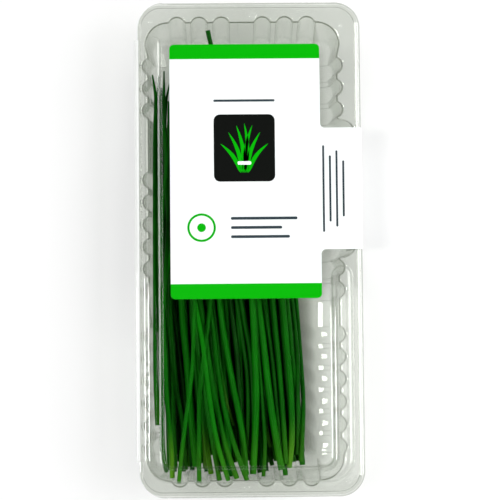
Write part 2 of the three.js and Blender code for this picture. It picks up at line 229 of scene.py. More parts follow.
def makePet(name, milkyShare=0.0):
    # PET sheet, vacuum formed: clear and glossy, a faint grey-green cast that deepens edge-on, with painted
    # shade where the sheet bends sharply and where the floor lies in shade; the film of the fold is a milky
    # white, partly painted highlight, partly its own whitening
    material, tree = newMaterial(name)
    facing = addNode(tree, "LayerWeight", {"Blend": 0.5}).outputs["Facing"]
    slant = addNode(tree, "Math", {0: facing, 1: petSheet["edgePower"]}, operation="POWER")
    # painted shade: a darker tint at the sheet's sharp bends, on its shaded floor and at the foot of its
    # walls
    bend = addNode(tree, "Attribute", attribute_name="paintedSheetShade").outputs["Fac"]
    tint = petSheet["throughFace"]
    for share, tone in ((slant, "throughEdge"), (bend, "throughPaintedShade")):
        tint = addNode(tree, "Mix", {0: share, 6: tint, 7: petSheet[tone]}, data_type="RGBA").outputs[2]
    clear = addNode(tree, "BsdfTransparent", {"Color": tint})
    # the fold's milky white stands in partly for a painted highlight
    milky = addNode(tree, "BsdfDiffuse", {"Color": petSheet["milky"]})
    through = addNode(tree, "MixShader", {0: milkyShare, 1: clear, 2: milky})
    place = addNode(tree, "TexCoord").outputs["Object"]
    waves = relief(tree, place, petSheet["waveSize"], petSheet["waveDepth"], 1.0, 1.0)
    gloss = addNode(tree, "BsdfAnisotropic", {"Roughness": petSheet["roughness"], "Normal": waves})
    rise = addNode(tree, "Math", {0: facing, 1: petSheet["mirrorPower"]}, operation="POWER")
    share = addNode(tree, "Math", {0: rise, 1: 1 - petSheet["mirror"], 2: petSheet["mirror"]},
                    operation="MULTIPLY_ADD")
    mixed = addNode(tree, "MixShader", {0: share, 1: through, 2: gloss})
    addNode(tree, "OutputMaterial", {"Surface": mixed})
    return material


labelPaper = {"color": "#f6fbfb", "roughness": 0.45, "fibreSize": 0.5, "fibreDepth": 0.01}


def makeLabelPaper():
    # coated label paper, calendered: bright white with a slight sheen and a faint fibre grain
    material, tree = newMaterial("coated_label_paper")
    place = addNode(tree, "TexCoord").outputs["Object"]
    fibres = relief(tree, place, labelPaper["fibreSize"], labelPaper["fibreDepth"], 3.0, 0.5)
    paper = addNode(tree, "BsdfPrincipled", {"Base Color": labelPaper["color"], "IOR": 1.45,
                                             "Roughness": labelPaper["roughness"], "Normal": fibres})
    addNode(tree, "OutputMaterial", {"Surface": paper})
    return material


inks = {
    "green": ("#00b200", "#02b002"), "black": ("#080a08", "#0d100d"), "grey": ("#2f3a40", "#3a464c"),
    "roughness": 0.35, "specular": 0.12, "grain": 0.7,
}


def makeInk(color):
    # offset printing ink under a varnish: flat colour, a little glossier than the bare paper
    material, tree = newMaterial(color + "_ink")
    first, second = inks[color]
    place = addNode(tree, "TexCoord").outputs["Object"]
    grain = addNode(tree, "TexNoise", {"Vector": place, "Scale": 1 / (inks["grain"] * mm), "Detail": 2.0})
    tone = addNode(tree, "Mix", {0: grain, 6: first, 7: second}, data_type="RGBA").outputs[2]
    ink = addNode(tree, "BsdfPrincipled", {"Base Color": tone, "Roughness": inks["roughness"], "IOR": 1.5,
                                           "Specular IOR Level": inks["specular"]})
    addNode(tree, "OutputMaterial", {"Surface": ink})
    return material


chiveSkin = {
    "dark": "#042d03", "bright": "#0a8805", "yellow": "#74b42c",
    "yellowShare": 0.8,  # how yellow the palest cut end is
    "roughness": 0.5, "specular": 0.1,
    "veinWidth": 0.35,  # fine lengthwise veins
    "veinLength": 12.0,
    "veinDepth": 0.03,
    "veinShift": 40.0,  # gives each leaf veins of its own
    "veinTone": 0.5,  # how much the veins change the colour
    "blotch": 9.0,  # slow colour change along a leaf
    "blotchTone": 0.35,
}


def makeChiveSkin():
    # fresh chive leaf: a hollow waxy tube, deep green with fine lengthwise veins and a soft sheen
    material, tree = newMaterial("chive_leaf_skin")
    along, shade, butt = (addNode(tree, "Attribute", attribute_name=name).outputs["Fac"]
                          for name in ("leafAlong", "leafShade", "leafButt"))
    centre = addNode(tree, "Attribute", attribute_name="leafCentre").outputs["Vector"]
    place = addNode(tree, "TexCoord").outputs["Object"]
    offset = addNode(tree, "VectorMath", {0: place, 1: centre}, operation="SUBTRACT")
    across = addNode(tree, "SeparateXYZ", {0: offset}).outputs["X"]
    scales = {"X": (across, 1 / (chiveSkin["veinWidth"] * mm)),
              "Y": (along, 1 / (chiveSkin["veinLength"] * mm)), "Z": (shade, chiveSkin["veinShift"])}
    skin = addNode(tree, "CombineXYZ", {
        axis: addNode(tree, "Math", {0: value, 1: scale}, operation="MULTIPLY")
        for axis, (value, scale) in scales.items()})
    veins = addNode(tree, "TexNoise", {"Vector": skin, "Scale": 1.0, "Detail": 2.0})
    blotches = addNode(tree, "TexNoise", {
        "Vector": place, "Scale": 1 / (chiveSkin["blotch"] * mm), "Detail": 2.0})
    tone = -(chiveSkin["blotchTone"] + chiveSkin["veinTone"]) / 2
    for noise, amount in ((blotches, "blotchTone"), (veins, "veinTone")):
        tone = addNode(tree, "Math", {0: noise, 1: chiveSkin[amount], 2: tone}, operation="MULTIPLY_ADD")
    tone = addNode(tree, "Math", {0: shade, 1: tone}, operation="ADD", use_clamp=True)
    pale = addNode(tree, "Math", {0: butt, 1: chiveSkin["yellowShare"]}, operation="MULTIPLY", use_clamp=True)
    color = chiveSkin["dark"]
    for share, paint in ((tone, "bright"), (pale, "yellow")):
        color = addNode(tree, "Mix", {0: share, 6: color, 7: chiveSkin[paint]}, data_type="RGBA").outputs[2]
    bump = addNode(tree, "Bump", {"Height": veins, "Strength": 0.6, "Distance": chiveSkin["veinDepth"] * mm})
    leaf = addNode(tree, "BsdfPrincipled", {
        "Base Color": color, "Roughness": chiveSkin["roughness"], "IOR": 1.42,
        "Specular IOR Level": chiveSkin["specular"], "Normal": bump})
    addNode(tree, "OutputMaterial", {"Surface": leaf})
    return material


clearPet = makePet("clear_pet_sheet")
foldedPet = makePet("folded_pet_film", petSheet["milkyShare"])
paper = makeLabelPaper()
greenInk, blackInk, greyInk = makeInk("green"), makeInk("black"), makeInk("grey")
chiveLeaf = makeChiveSkin()
print("materials made")


# tray

tray = {
    "sheet": 0.45, "height": 24.0, "underLid": 0.08,
    "left": -40.4, "right": 36.4, "bottom": -90.8, "top": 89.5, "radius": 9.3,  # mouth
    "leastRadius": 0.05, "waist": 1.0, "waistFade": 1.4,  # how far in the long walls stand between their ends
    "floorInset": 9.3, "footRounding": 5.8, "paintedEdgeShadeFrom": 3,  # steps up the rounding before the flutes' edges get painted shade
    "sideInset": 2.0, "endInset": 4.4,  # how far the long and the end walls lean in
    "mouthRounding": 1.1, "mouthDepth": 0.9,
    "dropFrom": 18.0,  # height from which the walls follow the rim's slope
    "lipDepth": 1.6, "lipInset": 1.2, "lipRounding": 0.55, "hingeLip": 0.05,
    "paintedEdgeShade": 0.4,  # painted shade along a flute's edges, how dark
    "mouthShadeLine": (0.33, 0.13),  # place and width of the painted dark line along the mouth's bend, as shares of its curve
    "drawn": 0.03,  # painted shade, darkening towards the floor
    "paintedFloorShadow": ((7.0, 0.4), (3.0, 0.22)),  # painted shadow of the chives on the floor: how dark it is this far in
}
flute = {
    "width": 6.8, "depth": 2.15, "pitch": 8.74,
    "lowShare": 0.8, "floorShare": 0.5,  # depth left at the foot of a wall and on the floor
    "softness": 0.12, "leastStep": 0.1, "mostStep": 6.0,
}
fluteSteps = (-0.4, -0.15, 0.0, 0.14, 0.32, 0.6, 1.0, 1.5, 2.1, 2.75, 3.4)  # places across half a flute
fluteStarts = {  # each side's flutes, from rows of start and count
    side: [start + i * flute["pitch"] for start, count in rows for i in range(count)]
    for side, rows in (("hinge", ((-81.1, 6), (-20.1, 6), (51.0, 3))),
                       ("open", ((-81.1, 6), (-20.1, 2), (51.0, 3))), ("end", ((-31.1, 3), (2.6, 3))))
}
bulge = {"start": -4.4, "stop": 50.8, "depth": 5.4, "round": 5.0, "lowShare": 0.65,
         "margin": 0.8, "step": 0.45}
rim = {"left": -42.8, "right": 44.4, "bottom": -97.0, "top": 97.0, "radius": 10.0,
       "slopeFrom": 2.25, "slopeTo": 0.9, "slopeDrop": 0.35, "fadeFrom": -36.0, "fadeTo": -30.0}
flangeUnder = tray["height"] - tray["sheet"] - tray["underLid"]
cornerSteps = 12


def fluteRise(along, starts):
    # how far out the nearest flute stands, an arc of a circle
    half, depth = flute["width"] / 2, flute["depth"]
    radius = (half ** 2 + depth ** 2) / (2 * depth)
    off = min(abs(along - start - half) for start in starts)
    return math.sqrt(radius * radius - off * off) - (radius - depth) if off < half else 0.0


def bulgeRise(along):
    nearest = min(along - bulge["start"], bulge["stop"] - along)
    if nearest <= 0:
        return 0.0
    short = max(1 - nearest / bulge["round"], 0.0)
    return (bulge["depth"] + tray["waist"]) * math.sqrt(1 - short * short)


def softened(rise, along):
    # averaged over the softness, so that no crease is sharp
    spread = np.linspace(-1, 1, 5) * flute["softness"]
    return sum(rise(along + s) for s in spread) / len(spread)


def wallPlaces(starts, low, high, withBulge):
    # places along a wall that are close enough together to follow its flutes
    low, high = low + flute["leastStep"], high - flute["leastStep"]
    places = {round(low, 3), round(high, 3)}
    for start in starts:
        for off in fluteSteps:
            places.update((round(start + off, 3), round(start + flute["width"] - off, 3)))
    if withBulge:
        start, stop, bend = bulge["start"], bulge["stop"], bulge["round"]
        for ends in ((start - bulge["margin"], start + bend), (stop - bend, stop + bulge["margin"])):
            places.update(np.round(np.arange(*ends, bulge["step"]), 3))
    places = sorted(place for place in places if low <= place <= high)
    kept = places[:1]
    for place in places[1:]:
        if place - kept[-1] > flute["leastStep"]:
            kept.append(place)
    for first, last in zip(kept[:-1], kept[1:]):
        if last - first > flute["mostStep"]:
            kept.extend(np.linspace(first, last, 4)[1:-1])
    return sorted(kept)


def wallOutline():
    # each wall's places with how far out they stand (flutes, bulge, waist) and how sharp their edge is, which
    # marks where painted shade goes
    walls = {}
    for name, side in (("right", "open"), ("top", "end"), ("left", "hinge"), ("bottom", "end")):
        starts, waist = fluteStarts[side], 0.0 if side == "end" else tray["waist"]
        low, high = ("left", "right") if side == "end" else ("bottom", "top")
        places = wallPlaces(starts, tray[low] + tray["radius"], tray[high] - tray["radius"], side == "open")
        edges = [start + across for start in starts for across in (0.0, flute["width"])]
        walls[name] = []
        for along in places:
            nearEnd = smoothStep(0, tray["waistFade"], min(along - places[0], places[-1] - along))
            rise = softened(lambda y: fluteRise(y, starts), along)
            bulk = softened(bulgeRise, along) if side == "open" else 0.0
            sharp = float(min(abs(along - edge) for edge in edges) < 0.01)
            walls[name].append((along, rise, bulk, waist * nearEnd, sharp))
    walls["top"].reverse()
    walls["left"].reverse()
    return walls


walls = wallOutline()


def trayRing(inset, endInset, fluteShare, bulgeShare):
    sides = {name: [(along, rise * fluteShare + bulk * bulgeShare - waist)
                    for along, rise, bulk, waist, _ in wall] for name, wall in walls.items()}
    radius = max(tray["radius"] - max(inset, endInset), tray["leastRadius"])
    return roundedRing(tray["left"] + inset, tray["bottom"] + endInset, tray["right"] - inset,
                       tray["top"] - endInset, radius, sides, cornerSteps)


def rimRing(inset, hingeInset=0.0, sideSteps=0):
    # the rim's outline moved in, with the walls' places on its sides, or with even steps
    left, right = rim["left"] + hingeInset, rim["right"] - inset
    bottom, top = rim["bottom"] + inset, rim["top"] - inset
    radius = rim["radius"] - inset
    places = {name: [place[0] for place in wall] for name, wall in walls.items()}
    if sideSteps:
        spans = {"right": (bottom + radius, top - radius), "top": (right - radius, left + radius),
                 "left": (top - radius, bottom + radius), "bottom": (left + radius, right - radius)}
        places = {name: np.linspace(*span, sideSteps)[1:-1] for name, span in spans.items()}
    sides = {name: [(along, 0.0) for along in places[name]] for name in places}
    return roundedRing(left, bottom, right, top, radius, sides, cornerSteps + 2 if sideSteps else cornerSteps)


def rimInset(ring):
    # how far points lie inside the rim's outline
    low, high = np.array((rim["left"], rim["bottom"])), np.array((rim["right"], rim["top"]))
    off = np.abs(ring[:, :2] - (low + high) / 2) - (high - low) / 2 + rim["radius"]
    return rim["radius"] - np.hypot(*np.maximum(off, 0).T) - np.minimum(off.max(axis=1), 0)


def openShare(x):
    # 0 along the hinge, 1 where the rim is turned down
    return smoothStep(rim["fadeFrom"], rim["fadeTo"], x)


def rimDrop(ring):
    slope = 1 - smoothStep(rim["slopeTo"], rim["slopeFrom"], rimInset(ring))
    return rim["slopeDrop"] * slope * openShare(ring[:, 0])


def atHeight(ring, z):
    return np.column_stack([ring, np.broadcast_to(z, len(ring))])


def trayRows():
    # rings of the outer skin from floor to lip, each with its painted shade and the painted shade of its
    # flutes' edges
    rounding, out = tray["footRounding"], tray["mouthRounding"]
    wallInsets = np.array((tray["sideInset"], tray["endInset"]))
    across, lean = tray["floorInset"] - wallInsets, wallInsets / (tray["height"] - rounding)
    centre = np.array((tray["left"] + tray["right"], tray["bottom"] + tray["top"])) / 2
    halves = np.array((tray["right"] - tray["left"], tray["top"] - tray["bottom"])) / 2 - tray["floorInset"]
    foot = trayRing(tray["floorInset"], tray["floorInset"], flute["floorShare"], flute["floorShare"])
    # the floor's inner rings carry the painted shadow of the chives
    rows = [(atHeight(centre + (foot - centre) * (1 - inward / halves), 0.0), dark, 0.0)
            for inward, dark in tray["paintedFloorShadow"]]
    for step, turn in enumerate(np.radians(np.linspace(90, 0, 11))):
        fade = math.cos(turn)
        ring = trayRing(*(tray["floorInset"] - across * fade),
                        between(flute["floorShare"], flute["lowShare"], fade),
                        between(flute["floorShare"], bulge["lowShare"], fade))
        paintedEdgeShade = tray["paintedEdgeShade"] if step >= tray["paintedEdgeShadeFrom"] else 0.0
        rows.append((atHeight(ring, rounding - rounding * math.sin(turn)), 0.0, paintedEdgeShade))
    curve = flangeUnder - tray["mouthDepth"]
    for z in np.linspace(rounding, curve, 9)[1:]:
        share = (z - rounding) / (tray["height"] - rounding)
        ring = trayRing(*(lean * (tray["height"] - z)), between(flute["lowShare"], 1, share),
                        between(bulge["lowShare"], 1, share))
        z = z - rimDrop(ring) * smoothStep(tray["dropFrom"], curve, z)
        rows.append((atHeight(ring, z), 0.0, tray["paintedEdgeShade"]))
    wallTop, wallBend = lean * (tray["height"] - curve), lean * (tray["height"] - flangeUnder)
    linePlace, lineWidth = tray["mouthShadeLine"]
    for share in np.linspace(0, 1, 10)[1:]:  # curve from wall to flange
        insets = (1 - share) ** 2 * wallTop + 2 * share * (1 - share) * wallBend - share ** 2 * out
        z = (1 - share) ** 2 * curve + (2 * share * (1 - share) + share ** 2) * flangeUnder
        ring = trayRing(*insets, 1.0, 1.0)
        # painted dark line along the mouth's bend
        dark = max(0.0, 1 - abs(share - linePlace) / lineWidth)
        rows.append((atHeight(ring, z - rimDrop(ring)), dark, 0.0))
    lipStart = tray["lipInset"] + tray["lipRounding"]
    mouthRing, flangeRing = trayRing(-out, -out, 1.0, 1.0), rimRing(lipStart, tray["lipRounding"])
    for share in (0.35, 0.7, 1.0):
        ring = mouthRing * (1 - share) + flangeRing * share
        rows.append((atHeight(ring, flangeUnder - rimDrop(ring)), 0.0, 0.0))
    for turn in np.radians(np.linspace(0, 90, 5)[1:]):
        reach = tray["lipRounding"] * math.sin(turn)
        ring = rimRing(lipStart - reach, tray["lipRounding"] - reach)
        drop = tray["lipRounding"] * (1 - math.cos(turn)) * openShare(ring[:, 0])
        rows.append((atHeight(ring, flangeUnder - rimDrop(ring) - drop), 0.0, 0.0))
    lipLeg = tray["lipDepth"] - tray["sheet"] - tray["lipRounding"] - rim["slopeDrop"]
    ring = rows[-1][0].copy()
    ring[:, 2] -= tray["hingeLip"] + lipLeg * openShare(ring[:, 0])
    return rows + [(ring, 0.0, 0.0)]


def makeTray():
    # the outer skin gets its wall inward, and each skin gets its painted shade at bends, on the floor and low
    # on the walls
    rows = trayRows()
    count = len(rows[0][0])
    faces = rowFaces(len(rows), count) + [tuple(reversed(range(count)))]
    piece = newPiece("tray_shell", np.vstack([ring for ring, _, _ in rows]), faces, clearPet)
    edges = [sharp for wall in walls.values() for sharp in [0.0] * (cornerSteps + 1) + [w[4] for w in wall]]
    outer, inner = [], []
    for ring, dark, paintedEdgeShade in rows:
        # painted shade, darker towards the floor
        dark = max(dark, tray["drawn"] * max(0.0, 1 - float(ring[:, 2].mean()) / flangeUnder))
        outer += [dark + paintedEdgeShade * sharp for sharp in edges]
        inner += [dark] * count
    piece.data.attributes.new("paintedSheetShade", "FLOAT", "POINT")
    thicken(piece, tray["sheet"])
    piece.data.attributes["paintedSheetShade"].data.foreach_set("value", outer + inner)
    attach(piece, "tray")
    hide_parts("base_tray")


makeTray()
print("tray made")


# lid

lid = {
    "under": 24.0, "sheet": 0.45, "sideSteps": 60,
    # painted shade on the turned-down skirt, from this share of the way round the edge
    "edgeRounding": 1.0, "skirtEnd": 22.35, "paintedSkirtShade": 0.3, "skirtShadeFrom": 0.9,
    "hingeLift": 0.22, "liftFrom": -42.2, "liftTo": -41.6,  # low step along the hinge
}
lidTop = lid["under"] + lid["sheet"]
# rings from the rounded edge to the level panel: how far in from the rim and from the hinge, and how much
# painted shade
panelRings = (
    (1.0, 0.2, 0.0), (1.2, 0.35, 0.0), (1.45, 0.5, 0.0), (1.7, 0.65, 0.0), (1.95, 0.8, 0.0), (2.1, 0.9, 0.4),
    (2.25, 1.05, 0.0), (2.4, 1.2, 0.0), (2.5, 1.3, 0.0), (2.62, 1.4, 0.0),
)
bead = {
    "left": -40.5, "innerLeft": -33.9, "bottom": -91.2, "innerBottom": -85.0, "innerRight": 32.0,
    "right": 40.1, "leftTop": 83.75, "rightTop": -7.2, "outerRadius": 9.5, "innerRadius": 4.0,
    "openShoulder": 0.7, "hingeShoulder": 1.0,  # extra width of its rounding on the sides facing away
    "shoulderFrom": 0.34, "shoulderTo": 1.2,
    "hingeFoot": 0.5,  # how much its foot is tightened beside the hinge
    # painted shade at the bead's foot
    "paintedBeadFootShade": 0.12,
}
# steps up the bead: how far in from its edge and how high
beadSteps = (
    (-0.75, 0), (-0.6, 0), (-0.4, 0.04), (-0.24, 0.1), (-0.1, 0.21), (0.0, 0.42), (0.08, 0.8), (0.15, 1.3),
    (0.23, 1.8), (0.34, 2.2), (0.5, 2.5), (0.66, 2.67), (0.82, 2.79), (1.0, 2.89), (1.2, 2.96), (1.5, 3.0),
    (2.3, 3.0),
)
# dimples as x, y, radius and height: two snap lid and tray together, the others are moulding marks
snapDots = ((2.2, 91.9, 1.5, 1.1), (-1.7, -93.2, 0.95, 0.9), (-38.2, 89.4, 0.9, 0.5), (36.7, 87.7, 0.9, 0.5),
            (37.6, -91.4, 0.9, 0.5))
dotSteps = (1.25, 1.08, 0.95, 0.8, 0.6, 0.35)  # a dimple's rings, as shares of its radius
dotSlope = (0.3, 1.08)  # where it rises, as shares of its radius


def beadRing(inset):
    outer, inner = bead["outerRadius"] - inset, bead["innerRadius"] + inset
    wider = float(np.clip((inset - bead["shoulderFrom"]) / (bead["shoulderTo"] - bead["shoulderFrom"]), 0, 1))
    right = bead["right"] - bead["openShoulder"] * wider
    innerLeft = bead["innerLeft"] - bead["hingeShoulder"] * wider + bead["hingeFoot"] * min(inset, 0)
    leftEnd, rightEnd = (innerLeft - bead["left"]) / 2, (right - bead["innerRight"]) / 2
    low, innerLow = bead["bottom"] + bead["outerRadius"], bead["innerBottom"] + bead["innerRadius"]
    ring = arc(bead["left"] + bead["outerRadius"], low, outer, 180, 270, 14)
    ring += arc(right - bead["outerRadius"], low, outer, 270, 360, 14)
    ring += arc(right - rightEnd, bead["rightTop"] - rightEnd, rightEnd - inset, 0, 180, 20)
    ring += arc(bead["innerRight"] - bead["innerRadius"], innerLow, inner, 0, -90, 10)
    ring += arc(innerLeft + bead["innerRadius"], innerLow, inner, 270, 180, 10)
    ring += arc(bead["left"] + leftEnd, bead["leftTop"] - leftEnd, leftEnd - inset, 0, 180, 20)
    return np.array(ring)


def edgeSection(steps=7):
    # the lid's turned-down edge: inset and drop at each step, with how far along the bend it is
    rounding = lid["edgeRounding"]
    leg = lidTop - rim["slopeDrop"] - rounding - lid["skirtEnd"]
    total = rounding * math.pi / 2 + leg
    section = [(rounding * (1 - math.sin(angle)), rounding * (1 - math.cos(angle)), rounding * angle / total)
               for angle in np.linspace(0, math.pi / 2, steps)[1:]]
    return section + [(0.0, rounding + leg / 2, 1 - leg / 2 / total), (0.0, rounding + leg, 1.0)]


def hingeLift(ring):
    return lid["hingeLift"] * (1 - smoothStep(lid["liftFrom"], lid["liftTo"], ring[:, 0]))


def ringVerts(bm, points, bend=0.0):
    # bend is the painted shade that each vertex gets
    layer = bm.verts.layers.float.get("paintedSheetShade") or bm.verts.layers.float.new("paintedSheetShade")
    made = [bm.verts.new([float(c) * mm for c in p]) for p in points]
    for vert in made:
        vert[layer] = bend
    return made


def bridge(bm, rows, closed=True):
    # quads between rows of vertices that run the same way
    for lower, upper in zip(rows[:-1], rows[1:]):
        for i in range(len(lower) if closed else len(lower) - 1):
            j = (i + 1) % len(lower)
            bm.faces.new((lower[i], lower[j], upper[j], upper[i])).smooth = True


def makeLid():
    # the sheet's upper skin: turned-down edge, bead, dimples and level panel, then its wall below
    bm = bmesh.new()
    edge, steps = [], lid["sideSteps"]
    for out, drop, along in reversed(edgeSection()):
        turned = rimRing(out, 0.0, steps)
        level = rimRing(lid["edgeRounding"] * (1 - along), panelRings[0][1] * (1 - along), steps)
        share = openShare(turned[:, 0])[:, None]
        ring = turned * share + level * (1 - share)
        z = lidTop - (rim["slopeDrop"] + drop) * share[:, 0] + hingeLift(ring)
        dark = lid["paintedSkirtShade"] * float(smoothStep(lid["skirtShadeFrom"], 1.0, along))
        edge.append(ringVerts(bm, atHeight(ring, z), dark))
    for inset, hingeInset, dark in panelRings:
        ring = rimRing(inset, hingeInset, steps)
        edge.append(ringVerts(bm, atHeight(ring, lidTop - rimDrop(ring) + hingeLift(ring)), dark))
    rows = [ringVerts(bm, atHeight(beadRing(inset), lidTop + rise), bead["paintedBeadFootShade"] * (0.2 < rise < 0.5))
            for inset, rise in beadSteps]
    domes = []
    for x, y, radius, rise in snapDots:
        rings = [atHeight(np.array(arc(x, y, radius * step, 0, 345, 23)),
                          lidTop + rise * float(1 - smoothStep(*dotSlope, step))) for step in dotSteps]
        domes.append([ringVerts(bm, ring) for ring in rings])
    for raised in [rows] + domes:
        bridge(bm, raised)
        fillBetween(bm, [raised[-1]])
    bridge(bm, edge)
    fillBetween(bm, [edge[-1]] + [raised[0] for raised in [rows] + domes])
    faceUp(bm)
    piece = pieceFrom(bm, "lid_shell", clearPet)
    thicken(piece, lid["sheet"])
    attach(piece, "lid")
    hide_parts("lid")


makeLid()
print("lid made")


# hinge film

hinge = {
    "x": -43.7, "z": 24.0, "film": 0.25, "bend": 0.7, "mouth": -42.86, "start": -83.0, "stop": 82.0,
    "slope": 24.0,  # degrees to which the fold's sides taper
    "ripples": ((0.03, 0.9, 0.0), (0.02, 0.37, 1.0)),  # depth, radians in a millimetre, shift
    "low": 23.1, "high": 24.9,  # heights just below and just above the fold, on the tray's side and on the lid's
}


def makeHinge():
    # one fold of film that tapers to its open side, towards the pack, with a slight ripple along it
    x, z, bend, slope = hinge["x"], hinge["z"], hinge["bend"], math.radians(hinge["slope"])
    turned = 90 - hinge["slope"]
    mouthHalf = bend * math.cos(slope) - (hinge["mouth"] - x - bend * math.sin(slope)) * math.tan(slope)
    rows = []
    for y in np.linspace(hinge["start"], hinge["stop"], 111):
        ripple = sum(depth * math.sin(y * rate + shift) for depth, rate, shift in hinge["ripples"])
        section = [(hinge["mouth"], z + mouthHalf)] + arc(x + ripple, z, bend, turned, 360 - turned, 20)
        section.append((hinge["mouth"], z - mouthHalf))
        rows.append(np.array([(across, y, height) for across, height in section]))
    faces = rowFaces(len(rows), len(rows[0]), closed=False)
    piece = newPiece("hinge_film", np.vstack(rows), faces, foldedPet)
    thicken(piece, hinge["film"], 0.0)
    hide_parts("living_hinge")
    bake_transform(piece)


makeHinge()
print("hinge made")


# label, its print and the seal

label = {
    "left": -30.7, "right": 28.3, "bottom": -19.9, "top": 80.3, "corner": 1.8, "thickness": 0.16,
    "bend": 39.9,  # from here on the tab follows the lid's edge
    "glue": 0.01, "ink": 0.02,  # how thick the glue line and a layer of ink are
}
tab = {"bottom": -0.8, "top": 47.0, "corner": 1.8, "steps": 13}
tabInsets = (rim["right"] - label["bend"], 3.3, 2.25, 1.95, 1.7, 1.45, 1.2, 1.0)


def edgeProfile():
    # the line that the tab follows over the lid's edge, as (x, z)
    line = []
    for x in (rim["right"] - inset for inset in tabInsets):
        line.append((x, lidTop - float(rimDrop(np.array([(x, tab["top"])]))[0])))
    for inset, drop, _ in edgeSection(9):
        line.append((rim["right"] - inset, lidTop - rim["slopeDrop"] - drop))
    return line


def labelOutline():
    corner, side = label["corner"], tab["corner"]
    left, right, bottom, top = label["left"], label["right"], label["bottom"], label["top"]
    outline = arc(left + corner, bottom + corner, corner, 180, 270, 8)
    outline += arc(right - corner, bottom + corner, corner, 270, 360, 8)
    outline += arc(right + side, tab["bottom"] - side, side, 180, 90, 8)
    outline += [(label["bend"], y) for y in np.linspace(tab["bottom"], tab["top"], tab["steps"])]
    outline += arc(right + side, tab["top"] + side, side, 270, 180, 8)
    outline += arc(right - corner, top - corner, corner, 0, 90, 8)
    return outline + arc(left + corner, top - corner, corner, 90, 180, 8)


def makeLabel():
    # one sheet of paper: flat panel and tab, then over the edge and down the skirt
    bm = bmesh.new()
    glue = label["glue"]
    outline = labelOutline()
    verts = ringVerts(bm, [(x, y, lidTop + glue) for x, y in outline])
    fillBetween(bm, [verts])
    rows = [[vert for vert, (x, _) in zip(verts, outline) if x == label["bend"]]]
    for x, z in edgeProfile()[1:]:
        rows.append(ringVerts(bm, [(x + glue, vert.co.y / mm, z + glue) for vert in rows[0]]))
    bridge(bm, rows, closed=False)
    faceUp(bm)
    piece = pieceFrom(bm, "label_sheet", paper)
    thicken(piece, label["thickness"], 1.0)
    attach(piece, "lid")
    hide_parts("label")


def roundedBox(left, bottom, right, top, low, high=None):
    # low and high are the radii of the lower and the upper corners
    high = low if high is None else high
    outline = []
    for x, y, inX, inY, start, radius in ((left, bottom, 1, 1, 180, low), (right, bottom, -1, 1, 270, low),
                                          (right, top, -1, -1, 0, high), (left, top, 1, -1, 90, high)):
        if radius:
            outline += arc(x + inX * radius, y + inY * radius, radius, start, start + 90, 6)
        else:
            outline.append((x, y))
    return outline


def makePrint(name, outlines, material, layer=0):
    # thin layers of ink on the label, each a closed flat body
    low = lidTop + label["glue"] + label["thickness"] + label["ink"] * (layer + 0.05)
    bm = bmesh.new()
    for outline in outlines:
        rings = outline if isinstance(outline[0], list) else [outline]
        lower, upper = ([ringVerts(bm, [(x, y, z) for x, y in ring]) for ring in rings]
                        for z in (low, low + label["ink"]))
        for pair in zip(lower, upper):
            bridge(bm, pair)
        fillBetween(bm, lower)
        fillBetween(bm, upper)
    bmesh.ops.recalc_face_normals(bm, faces=bm.faces)
    piece = pieceFrom(bm, name, material)
    piece.data.shade_flat()
    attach(piece, "lid")


printed = {
    "bandTop": 74.5, "bandBottom": -14.0,  # inner edges of the two green bands
    "plaque": (-13.5, 26.0, 10.5, 52.5, 2.5),  # left, bottom, right, top and corner, here and below
    "tie": (-4.2, 32.6, 1.2, 34.0, 0.6),
    "ring": (-18.5, 8.0), "ringRadii": (5.6, 4.7), "dotRadius": 1.7,
    "rules": ((-7.0, 11.0, 19.0, 12.1, 0.5), (-7.0, 7.4, 13.0, 8.5, 0.5), (-7.0, 3.8, 16.0, 4.9, 0.5),
              (-13.5, 57.5, 10.5, 58.4, 0.4), (29.0, 6.0, 29.8, 40.0, 0.35), (31.6, 10.0, 32.4, 36.0, 0.35),
              (34.2, 8.0, 35.0, 38.0, 0.35), (36.8, 12.0, 37.6, 34.0, 0.35)),
}
sheaf = {"x": -1.5, "foot": 29.5, "tip": 49.0, "width": 1.5, "bow": 1.2, "side": 3,
         "footStep": 0.5, "tipStep": 3.1, "tipDrop": 0.9}  # from blade to blade


def blade(number):
    # a slender leaf of the sheaf, widest a third of the way up
    foot = np.array((sheaf["x"] + sheaf["footStep"] * number, sheaf["foot"]))
    tip = np.array((sheaf["x"] + sheaf["tipStep"] * number, sheaf["tip"] - sheaf["tipDrop"] * number ** 2))
    across = np.array((foot[1] - tip[1], tip[0] - foot[0])) / np.linalg.norm(tip - foot)
    bow = sheaf["bow"] if tip[0] > foot[0] else -sheaf["bow"]
    left, right = [], []
    for share in np.linspace(0, 1, 13):
        half = sheaf["width"] / 2 * math.sin(math.pi * share ** 0.7) ** 0.8 + 0.05
        middle = foot + (tip - foot) * share + across * bow * math.sin(math.pi * share)
        left.append(tuple(middle + across * half))
        right.append(tuple(middle - across * half))
    return left + right[::-1]


def makeLabelPrint():
    left, right, corner = label["left"], label["right"], label["corner"]
    bands = [roundedBox(left, printed["bandTop"], right, label["top"], 0, corner),
             roundedBox(left, label["bottom"], right, printed["bandBottom"], corner, 0)]
    makePrint("label_bands", bands, greenInk)
    makePrint("label_plaque", [roundedBox(*printed["plaque"])], blackInk)
    blades = [blade(number) for number in range(-sheaf["side"], sheaf["side"] + 1)]
    makePrint("label_blades", blades, greenInk, 1)
    makePrint("label_tie", [roundedBox(*printed["tie"])], paper, 2)
    ring = [arc(*printed["ring"], radius, 0, 354, 59) for radius in printed["ringRadii"]]
    makePrint("label_ring", [ring, arc(*printed["ring"], printed["dotRadius"], 0, 345, 23)], greenInk)
    makePrint("label_rules", [roundedBox(*rule) for rule in printed["rules"]], greyInk)


seal = {
    "start": 22.05, "bottom": 10.5, "gap": 0.1, "thickness": 0.16,
    "overRim": ((0.12, 0.0), (-0.5, -0.12)),  # out from the rim and up from the start
    "onWall": ((1.0, 0.0, -0.18), (0.35, -0.3, -0.4)),  # out from the wall at one height, and height
    "flatFrom": 0.9,
}


